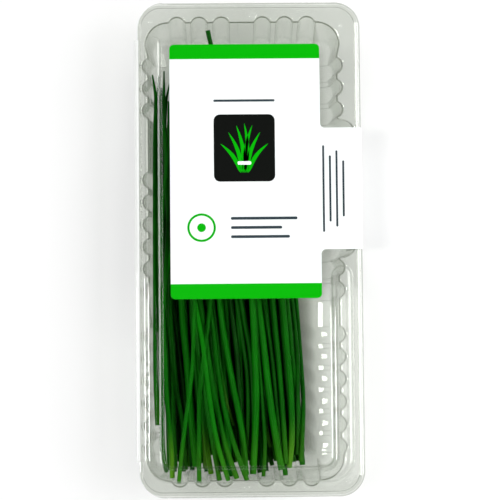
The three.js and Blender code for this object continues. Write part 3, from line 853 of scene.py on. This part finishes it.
def makeSeal():
    # the label's end below the lid, stuck to the bulge's flat face
    across = bulge["depth"] * (1 - bulge["lowShare"]) + tray["sideInset"]
    lean = across / (tray["height"] - tray["footRounding"])
    face, start = tray["right"] + bulge["depth"] + seal["gap"] - lean * tray["height"], seal["start"]
    line = [(rim["right"] + out, start + up) for out, up in seal["overRim"]]
    line += [(face + lean * (start + at) + out, start + up) for out, at, up in seal["onWall"]]
    line += [(face + lean * z, z) for z in np.linspace(start - seal["flatFrom"], seal["bottom"], 8)]
    places = np.linspace(tab["bottom"], tab["top"], tab["steps"])
    rows = [np.array([(x, y, z) for x, z in line]) for y in places]
    piece = newPiece("seal_tail_sheet", np.vstack(rows), rowFaces(len(rows), len(line), closed=False), paper)
    thicken(piece, seal["thickness"], 0.0)
    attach(piece, "tray")
    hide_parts("seal_tail")


makeLabel()
makeLabelPrint()
makeSeal()
print("label made")


# leaves

bunch = {
    "seed": 7, "fillers": 16, "tries": 5,  # a filler is the lowest of a few tries
    "sides": 12, "step": 3.0,  # of a tube, and mm between its rings
    "taper": 0.15, "tip": 12.0, "tipRadius": 0.3, "lastTip": 80.5, "underLid": 23.5,
    "squeeze": 0.84,  # how close leaves lie, as a share of their radii
    "sag": 0.012,  # how much a leaf bends under its weight from ring to ring
    "wallGap": 0.1, "endGap": 0.2,
    "rounds": 400, "pull": 0.9, "smoothings": 6,  # of a leaf while it settles
    "shade": (0.1, 0.6), "paleness": (0.0, 0.1, 0.3), "fillerPaleness": (0.0, 0.1, 0.4),
    "rimShare": 0.3, "hollow": 2.2, "leastButt": 0.6,  # wall, depth and least radius of a cut end
    "paleLength": 22.0,
}
filler = {
    "x": (-33.5, 14.0), "length": (132, 160), "bow": (-1.6, 1.6), "butt": (-89.5, -86.0),
    "radius": (0.85, 1.25),
    "leastLean": 1.0, "lean": 4.5 / 54, "spread": (-1.3, 1.3),  # degrees, and degrees in a millimetre
    "clear": -31.5,
}
# what isn't seen of a leaf that runs on under the label
hidden = {"length": (138, 158), "lastTip": 72.5, "knots": (0.35, 0.7, 1.0), "straighten": 0.35,
          "clear": -29.5, "spread": (-0.5, 3.5)}
# leaves that lie in sight: radius, brightness, paleness of the cut end, then the way from there to the tip
seenLeaves = (
    (1.0, 0.2, 0.1, (-30.2, -87.5), (-30.6, -72), (-31.6, -52), (-32.3, -32), (-32.6, -20.2)),
    (1.0, 0.25, 0.1, (-32.1, -86.8), (-32.4, -70), (-32.8, -50), (-33.1, -30), (-33.2, -20.3)),
    (0.92, 0.45, 0.2, (19.9, -84), (21.2, -61.7), (20.3, -40.9), (19.1, -20.7)),
    (0.92, 0.35, 0.1, (18.3, -81.4), (18.7, -64.4), (19.1, -43.4), (18, -28.2), (17.3, -20.6)),
    (0.83, 0.45, 0.1, (-29.6, -85.9), (-30.3, -69), (-30.6, -46.7), (-31.9, -27.9), (-32.6, -20.3)),
    (0.91, 0.15, 0, (-23, -87), (-24.4, -71.8), (-26.5, -53.1), (-29.1, -30.5), (-30.2, -20.3)),
    (0.91, 0.4, 0.1, (-25.6, -86.8), (-26.6, -70.5), (-28.9, -56), (-30.4, -39.5), (-31.4, -20.1)),
    (0.88, 0.35, 0.1, (-33.3, -87), (-34, -79.7), (-34.3, -59.2), (-34.3, -35.5), (-34.2, -20.1)),
    (1.07, 0.15, 0, (-3.1, -87), (-4, -59.5), (-5, -40.7), (-6.4, -28.1), (-7.1, -20.5)),
    (1.11, 0.45, 0.1, (1.6, -87), (1.1, -59.5), (0.3, -40.8), (-1.8, -28.1), (-3, -20.6)),
    (0.91, 0.35, 0.1, (12.3, -84), (10.8, -68.2), (8.8, -43.4), (6.7, -28.2), (5.6, -20.7)),
    (1.19, 0.6, 0.7, (14.9, -86.2), (16.1, -77.5), (16.3, -59.7), (14.5, -35.8), (13.4, -20.7)),
    (0.88, 0.3, 0.1, (8.6, -85.6), (7.3, -80.1), (6.2, -67.5), (4.8, -43.8), (4.3, -20.4)),
    (0.75, 0.35, 0.1, (-12.3, -69.2), (-13, -61.4), (-14.2, -47.6), (-16.4, -27.8), (-17.1, -20.3)),
    (1.43, 0.75, 0.1, (-21.5, -85.5), (-23.4, -65.1), (-24.8, -45.6), (-26.3, -27.9), (-26.6, -20.4)),
    (0.99, 0.6, 0.9, (-30.7, -89.4), (-31, -79.4), (-32.4, -61.1), (-33.3, -45.4), (-33.7, -19.9)),
    (1.07, 0.55, 0.8, (-15.6, -88.2), (-17.3, -77), (-18.6, -63.2), (-20, -43.6), (-20.7, -20.3)),
    (0.87, 0.35, 0.1, (-1.7, -83), (-0.7, -61.4), (-1.1, -48.3), (-3.2, -33.2), (-4.9, -20.6)),
    (0.87, 0.4, 0.3, (8.1, -78.2), (6.3, -72.1), (4.7, -59.6), (3.7, -39.8), (3.1, -20.5)),
    (0.75, 0.4, 0.3, (-6.5, -69.3), (-8.3, -64.5), (-10.3, -55.5), (-12.9, -35.8), (-14.4, -20.4)),
    (0.99, 0.5, 0.2, (13.8, -84.7), (13.4, -74.8), (12, -50.9), (10.2, -28.3), (9.6, -20.7)),
    (1.36, 0.7, 0.2, (12.1, -86.8), (10.4, -77.3), (7.6, -57.6), (5.3, -35.8), (3.5, -20.7)),
    (0.95, 0.45, 0.2, (-12.3, -90.5), (-14.7, -77), (-17.7, -58.7), (-20.4, -39.7), (-22.6, -20.4)),
    (0.77, 0.45, 0.2, (4.9, -89.5), (5.7, -77.2), (4.8, -61.5), (3.2, -39.9), (2.2, -20.6)),
    (1.22, 0.7, 0.2, (-2, -88.6), (-3.2, -73.1), (-6.8, -53.2), (-10.6, -30.7), (-11.8, -20.6)),
    (1.03, 0.6, 0.3, (-5.5, -89.8), (-9.4, -78.3), (-12.2, -66.5), (-15, -51.5), (-18.3, -27.9),
     (-19.4, -20.4)),
    (1.3, 0.75, 0.2, (0.8, -88.3), (1.7, -74.5), (2.4, -57.5), (2, -40.8), (1.2, -20.8)),
    (0.98, 0.55, 0.2, (-1.6, -90.4), (-5.1, -80.9), (-9.2, -67.1), (-12.3, -50.7), (-14.9, -28.2),
     (-15.9, -20.5)),
    (0.93, 0.6, 0.2, (-20.2, -91.2), (-20.2, -76.9), (-19.5, -53.4), (-17.4, -36.9), (-15.3, -20.6)),
    (0.94, 0.9, 0.3, (-9, -90.2), (-13.1, -75.6), (-16.3, -55.3), (-18.7, -35.6), (-21.4, -20.6)),
    (0.82, 0.7, 0.3, (-28.1, -91.4), (-27.2, -81.9), (-24.8, -63.7), (-22.7, -48.1), (-21.9, -30.7),
     (-21.5, -20.7)),
)
# tips and slim leaves that lean on the hinge side's wall, whole
wallLeaves = (
    (0.87, 0.4, 0.1, (-35.1, -66.9), (-34.5, -31.7), (-31.9, 7.8), (-33.1, 54), (-32.4, 62.3),
     (-31.1, 68.1)),
    (0.8, 0.35, 0.1, (-35.2, -19.8), (-33.6, 19.1), (-32.1, 35.2), (-33.1, 47.7), (-33.6, 73.5)),
    (1.05, 0.25, 0.1, (-34.4, -79), (-34.9, -40), (-35, 0), (-34.7, 40), (-34.4, 58), (-34.7, 66.5)),
    (0.95, 0.35, 0.1, (-36.6, -31.7), (-36.7, -0.2), (-36.6, 41.1), (-36.2, 53.8), (-35.7, 71.3)),
    (0.95, 0.4, 0.1, (-36.2, -68.8), (-36.8, -53.2), (-36.9, -15.6), (-37, 18.9), (-36.7, 50.4),
     (-36.4, 60), (-37.7, 69.8)),
    (0.92, 0.3, 0, (-15.6, 87.2), (-14.3, 81.4), (-11, 68), (-6.5, 45), (-3.5, 20)),
)


def smoothPath(knots, places):
    # a smooth line through the knots, read at the given y places (knots run up in y)
    xs, ys = np.array(knots, float).T
    slopes = np.gradient(xs, ys)
    at = np.clip(np.searchsorted(ys, places) - 1, 0, len(ys) - 2)
    span = ys[at + 1] - ys[at]
    t = (places - ys[at]) / span
    inner = np.clip(t, 0, 1)
    x = (xs[at] * (1 + 2 * inner) * (1 - inner) ** 2 + slopes[at] * span * inner * (1 - inner) ** 2
         + xs[at + 1] * inner ** 2 * (3 - 2 * inner) - slopes[at + 1] * span * inner ** 2 * (1 - inner))
    return x + (t - inner) * span * np.where(t > 1, slopes[at + 1], slopes[at])


def ringPlaces(first, last):
    return np.linspace(first, last, int((last - first) / bunch["step"]) + 1)


def wallSection(wallInset):
    # a plain wall's outer skin from the floor up, as (how far in, height)
    across, rounding = tray["floorInset"] - wallInset, tray["footRounding"]
    section = [(tray["floorInset"] - across * math.cos(turn), rounding * (1 - math.sin(turn)))
               for turn in np.radians(np.linspace(90, 0, 14))]
    return section + [(wallInset * (1 - share), between(rounding, tray["height"], share))
                      for share in np.linspace(0, 1, 40)[1:]]


def wallLine(x, radius):
    # height at which floor, rounding and long walls hold up a leaf
    reach = radius + tray["sheet"] + bunch["wallGap"]
    held = reach * np.ones(len(x))
    for inset, z in wallSection(tray["sideInset"]):
        for side in (tray["left"] + tray["waist"] + inset, tray["right"] - tray["waist"] - inset):
            apart = x - side
            rise = z + np.sqrt(np.maximum(reach ** 2 - apart ** 2, 0))
            held = np.where(np.abs(apart) < reach, np.maximum(held, rise), held)
    return held


def endLine(x, y, radius):
    # height at which the leaning end walls hold up a leaf that reaches them
    insets, heights = zip(*reversed(wallSection(tray["endInset"])))
    flutes = np.array([fluteRise(place, fluteStarts["end"]) for place in x])
    gap = np.minimum(y - tray["bottom"], tray["top"] - y) + flutes * flute["lowShare"]
    gap -= tray["sheet"] + bunch["endGap"]
    return np.interp(gap, insets, heights, right=0.0) + np.where(gap < tray["floorInset"], radius, 0.0)


def leafRadii(places, radius):
    start, stop = places[0], places[-1]
    body = radius * (1 - bunch["taper"] * (places - start) / (stop - start))
    return np.maximum(bunch["tipRadius"], body * np.sqrt(np.clip((stop - places) / bunch["tip"], 0, 1)))


def cadLeaves():
    # centre line and radius of each leaf of the frame, from its rings
    leaves = []
    for name in sorted(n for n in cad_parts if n.startswith("chive_leaf_")):
        points = np.array([v.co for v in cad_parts[name].data.vertices]) / mm
        places = np.unique(points[:, 1].round(2))
        rings = [points[np.abs(points[:, 1] - y) < 0.02] for y in places]
        low, high = (np.array([end(ring, axis=0) for ring in rings]) for end in (np.min, np.max))
        x, _, z = ((low + high) / 2).T
        leaves.append({"node": name, "y": places, "x": x, "z": z, "r": (high - low)[:, 0] / 2})
    return leaves


def fineLeaf(leaf):
    # the same leaf on closely spaced rings, with smooth bends
    y = ringPlaces(leaf["y"][0], min(leaf["y"][-1], bunch["lastTip"]))
    x, z = (smoothPath(list(zip(leaf[axis], leaf["y"])), y) for axis in ("x", "z"))
    return {"node": leaf["node"], "y": y, "x": x, "z": z, "r": leafRadii(y, leaf["r"][0])}


def settle(leaf, laid):
    # lays a leaf on the walls, floor and leaves below; it hangs a little between them
    y, x, radius = leaf["y"], leaf["x"], leaf["r"]
    held = np.maximum(wallLine(x, radius), endLine(x, y, radius))
    for other in laid:
        apart = x - np.interp(y, other["y"], other["x"])
        reach = (radius + np.interp(y, other["y"], other["r"])) * bunch["squeeze"]
        inReach = (np.abs(apart) < reach) & (y > other["y"][0] - 1) & (y < other["y"][-1] + 1)
        rise = np.interp(y, other["y"], other["z"]) + np.sqrt(np.maximum(reach ** 2 - apart ** 2, 0))
        held = np.maximum(held, np.where(inReach, rise, 0))
    z = held.copy()
    for _ in range(bunch["rounds"]):
        level = z.copy()
        level[1:-1] = (z[:-2] + z[2:]) / 2 - bunch["sag"]
        level[0], level[-1] = 2 * z[1] - z[2], 2 * z[-2] - z[-3]
        z = np.maximum(held, z + bunch["pull"] * (level - z))
    for _ in range(bunch["smoothings"]):
        z[1:-1] = (z[:-2] + 2 * z[1:-1] + z[2:]) / 4
    leaf["z"] = np.minimum(z, bunch["underLid"] - radius)
    return leaf


def extended(knots, draw):
    # carries a leaf on under the label to its tip, clear of the hinge side's wall
    (beforeX, beforeY), (lastX, lastY) = knots[-2:]
    stop = min(knots[0][1] + draw.uniform(*hidden["length"]), hidden["lastTip"])
    slope = (lastX - beforeX) / (lastY - beforeY)
    more = []
    for share in hidden["knots"]:
        y = between(lastY, stop, share)
        x = lastX + slope * (y - lastY) * (1 - hidden["straighten"] * share)
        more.append((max(x, hidden["clear"] + draw.uniform(*hidden["spread"]) * share), y))
    return knots + more


def laidLeaf(knots, radius):
    # a leaf whose knots run from its cut end to its tip, up or down the pack
    upward = sorted(knots, key=lambda knot: knot[1])
    y = ringPlaces(upward[0][1], upward[-1][1])
    radii = leafRadii(y, radius)
    return {"y": y, "x": smoothPath(upward, y), "r": radii if upward[0] == knots[0] else radii[::-1]}


def fillerLeaf(draw):
    x = draw.uniform(*filler["x"])
    lean = filler["lean"] * (x - filler["x"][0]) + filler["leastLean"] + draw.uniform(*filler["spread"])
    slope = math.tan(math.radians(lean))
    length, bow, butt = (draw.uniform(*filler[key]) for key in ("length", "bow", "butt"))
    knots = [(max(x - slope * length * s + bow * math.sin(math.pi * s), filler["clear"]), butt + length * s)
             for s in (0, 0.25, 0.5, 0.75, 1)]
    return laidLeaf(knots, draw.uniform(*filler["radius"]))


def layLeaves():
    draw = random.Random(bunch["seed"])
    frameLeaves = [fineLeaf(leaf) for leaf in cadLeaves()]
    for leaf in frameLeaves:
        leaf.update(shade=draw.uniform(*bunch["shade"]), butt=draw.choice(bunch["paleness"]))
    laid, fillers, shown = list(frameLeaves), [], []
    for _ in range(bunch["fillers"]):
        tries = [settle(fillerLeaf(draw), laid + fillers) for _ in range(bunch["tries"])]
        fillers.append(min(tries, key=lambda leaf: leaf["z"].mean()))
        fillers[-1].update(shade=draw.uniform(*bunch["shade"]), butt=draw.choice(bunch["fillerPaleness"]))
    for row in seenLeaves + wallLeaves:
        radius, shade, butt, *knots = row
        if row in seenLeaves:
            knots = extended(knots, draw)
        shown.append(settle(laidLeaf(knots, radius), laid + fillers + shown))
        shown[-1].update(shade=shade, butt=butt)
    return frameLeaves, fillers, shown


def leafNodes():
    # tubes round the centre lines, each ring as wide as its point says
    tree = bpy.data.node_groups.new("leaf_tubes", "GeometryNodeTree")
    tree.interface.new_socket("Lines", in_out="INPUT", socket_type="NodeSocketGeometry")
    sides = tree.interface.new_socket("Sides", in_out="INPUT", socket_type="NodeSocketInt")
    tree.interface.new_socket("Leaves", in_out="OUTPUT", socket_type="NodeSocketGeometry")
    start = addNode(tree, "NodeGroupInput")
    radius = addNode(tree, "InputNamedAttribute", {"Name": "leafRadius"}, data_type="FLOAT")
    lines = addNode(tree, "MeshToCurve", {"Mesh": start.outputs["Lines"]})
    ring = addNode(tree, "CurvePrimitiveCircle", {"Resolution": start.outputs["Sides"], "Radius": 1.0})
    tubes = addNode(tree, "CurveToMesh", {
        "Curve": lines, "Profile Curve": ring, "Scale": radius, "Fill Caps": True})
    real = addNode(tree, "RealizeInstances", {"Geometry": tubes})
    smooth = addNode(tree, "SetShadeSmooth", {"Geometry": real})
    skin = addNode(tree, "SetMaterial", {"Geometry": smooth, "Material": chiveLeaf})
    addNode(tree, "NodeGroupOutput", {0: skin})
    return tree, sides.identifier


leafTree, leafSides = leafNodes()


def makeLeaves(name, leaves):
    points, edges, values = [], [], {"leafRadius": [], "leafShade": [], "leafButt": [], "leafAlong": []}
    for leaf in leaves:
        y, radii = leaf["y"], leaf["r"]
        edges += [(i, i + 1) for i in range(len(points), len(points) + len(y) - 1)]
        points += zip(leaf["x"], y, leaf["z"])
        fromCut = y - y[0] if radii[0] > radii[-1] else y[-1] - y
        values["leafRadius"] += list(radii * mm)
        values["leafShade"] += [leaf["shade"]] * len(y)
        values["leafButt"] += list(leaf["butt"] * (1 - smoothStep(0, bunch["paleLength"], fromCut)))
        values["leafAlong"] += list(fromCut * mm)
    piece = newPiece(name, points, [], edges=edges)
    for key, numbers in values.items():
        piece.data.attributes.new(key, "FLOAT", "POINT").data.foreach_set("value", numbers)
    centres = piece.data.attributes.new("leafCentre", "FLOAT_VECTOR", "POINT")
    centres.data.foreach_set("vector", [float(c) * mm for p in points for c in p])
    tubes = piece.modifiers.new("tubes", "NODES")
    tubes.node_group = leafTree
    tubes[leafSides] = bunch["sides"]
    bakeModifiers(piece)
    openButts(piece)
    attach(piece, "tray")
    nodes = [leaf["node"] for leaf in leaves if "node" in leaf]
    if nodes:
        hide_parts(*nodes)


def openButts(piece):
    # cut ends: a thin wall round a hollow
    bm = bmesh.new()
    bm.from_mesh(piece.data)
    for cap in [face for face in bm.faces if len(face.verts) == bunch["sides"]]:
        radius = math.sqrt(cap.calc_area() / math.pi)
        if radius > bunch["leastButt"] * mm:  # and not a tip
            inward = cap.normal * -bunch["hollow"] * mm
            bmesh.ops.inset_individual(bm, faces=[cap], thickness=radius * bunch["rimShare"],
                                       use_even_offset=True)
            grown = bmesh.ops.extrude_discrete_faces(bm, faces=[cap])["faces"][0]
            bmesh.ops.translate(bm, verts=grown.verts, vec=inward)
    bm.to_mesh(piece.data)
    bm.free()


frameLeaves, fillerLeaves, shownLeaves = layLeaves()
half = len(frameLeaves) // 2
makeLeaves("chive_leaves_low", frameLeaves[:half])
makeLeaves("chive_leaves_middle", frameLeaves[half:])
makeLeaves("chive_leaves_upper", fillerLeaves)
makeLeaves("chive_leaves_top", shownLeaves)
print("leaves made, pile up to", round(max(float(leaf["z"].max()) for leaf in shownLeaves), 1), "mm")


# floor and light

studio = {"floor": "#cccccc", "floorGlow": 0.4, "floorSize": 4000.0, "floorZ": -0.05}
# softboxes: degrees from straight up, distance, place along the pack, width, length, watts
softboxes = {
    "left": (-32.0, 1500.0, -70.0, 640.0, 250.0, 11.5),
    "right": (45.0, 600.0, 40.0, 370.0, 460.0, 2.6),
}
skyStops = ((0.0, 1.0), (0.4, 0.8), (0.7, 0.1), (0.86, 0.0))  # height and grey of the room's light
# a panel overhead that the pack's open side mirrors
panel = {"left": 88.0, "right": 190.0, "bottom": -186.0, "top": 50.0, "height": 1524.0,
         "soft": 26.0, "glow": 1.8}


def makePanel():
    # glowing diffuser cloth, brighter away from its inner edge
    material, tree = newMaterial("overhead_panel")
    place = addNode(tree, "TexCoord").outputs["Object"]
    across = addNode(tree, "SeparateXYZ", {0: place}).outputs["X"]
    rise = addNode(tree, "MapRange", {
        "Value": across, "From Min": panel["left"] * mm, "From Max": (panel["left"] + panel["soft"]) * mm,
        "To Max": panel["glow"]}, interpolation_type="SMOOTHSTEP")
    glow = addNode(tree, "Emission", {"Strength": rise})
    addNode(tree, "OutputMaterial", {"Surface": glow})
    corners = [(panel[x], panel[y], panel["height"]) for x, y in (
        ("left", "bottom"), ("left", "top"), ("right", "top"), ("right", "bottom"))]
    newPiece("overhead_panel", corners, [(0, 1, 2, 3)], material)


def makeFloor():
    # pale painted floor, lit a little from within so that the pack's shadow stays light
    material, tree = newMaterial("studio_floor")
    plain = addNode(tree, "BsdfDiffuse", {"Color": studio["floor"]})
    lit = addNode(tree, "Emission", {"Strength": studio["floorGlow"]})
    both = addNode(tree, "AddShader", {0: plain, 1: lit})
    addNode(tree, "OutputMaterial", {"Surface": both})
    half = studio["floorSize"] / 2
    corners = [(x * half, y * half, studio["floorZ"]) for x, y in ((-1, -1), (1, -1), (1, 1), (-1, 1))]
    newPiece("studio_floor", corners, [(0, 1, 2, 3)], material)


def makeLights():
    # a softbox high on either side, and a room that is dark overhead
    scene = bpy.context.scene
    scene.view_settings.view_transform = "Standard"
    scene.cycles.transparent_max_bounces = 32
    for side, (angle, away, along, width, length, watts) in softboxes.items():
        data = bpy.data.lights.new("softbox_" + side, "AREA")
        data.shape = "RECTANGLE"
        data.size, data.size_y = width * mm, length * mm
        data.energy = watts
        item = bpy.data.objects.new("softbox_" + side, data)
        lean = math.radians(angle)
        item.location = (away * mm * math.sin(lean), along * mm, away * mm * math.cos(lean))
        item.rotation_euler = (0, lean, 0)
        scene.collection.objects.link(item)
    world = bpy.data.worlds.new("room")
    scene.world = world
    world.use_nodes = True
    tree = world.node_tree
    tree.nodes.clear()
    way = addNode(tree, "TexCoord").outputs["Generated"]
    height = addNode(tree, "SeparateXYZ", {0: way}).outputs["Z"]
    ramp = addNode(tree, "ValToRGB", {"Fac": height})
    stops = ramp.color_ramp.elements
    for place, grey in skyStops:
        stops.new(place).color = (grey, grey, grey, 1)
    stops.remove(stops[0])
    stops.remove(stops[-1])
    sky = addNode(tree, "Background", {"Color": ramp, "Strength": 1.0})
    addNode(tree, "OutputWorld", {"Surface": sky})


makeLights()
makeFloor()
makePanel()
print("studio made")
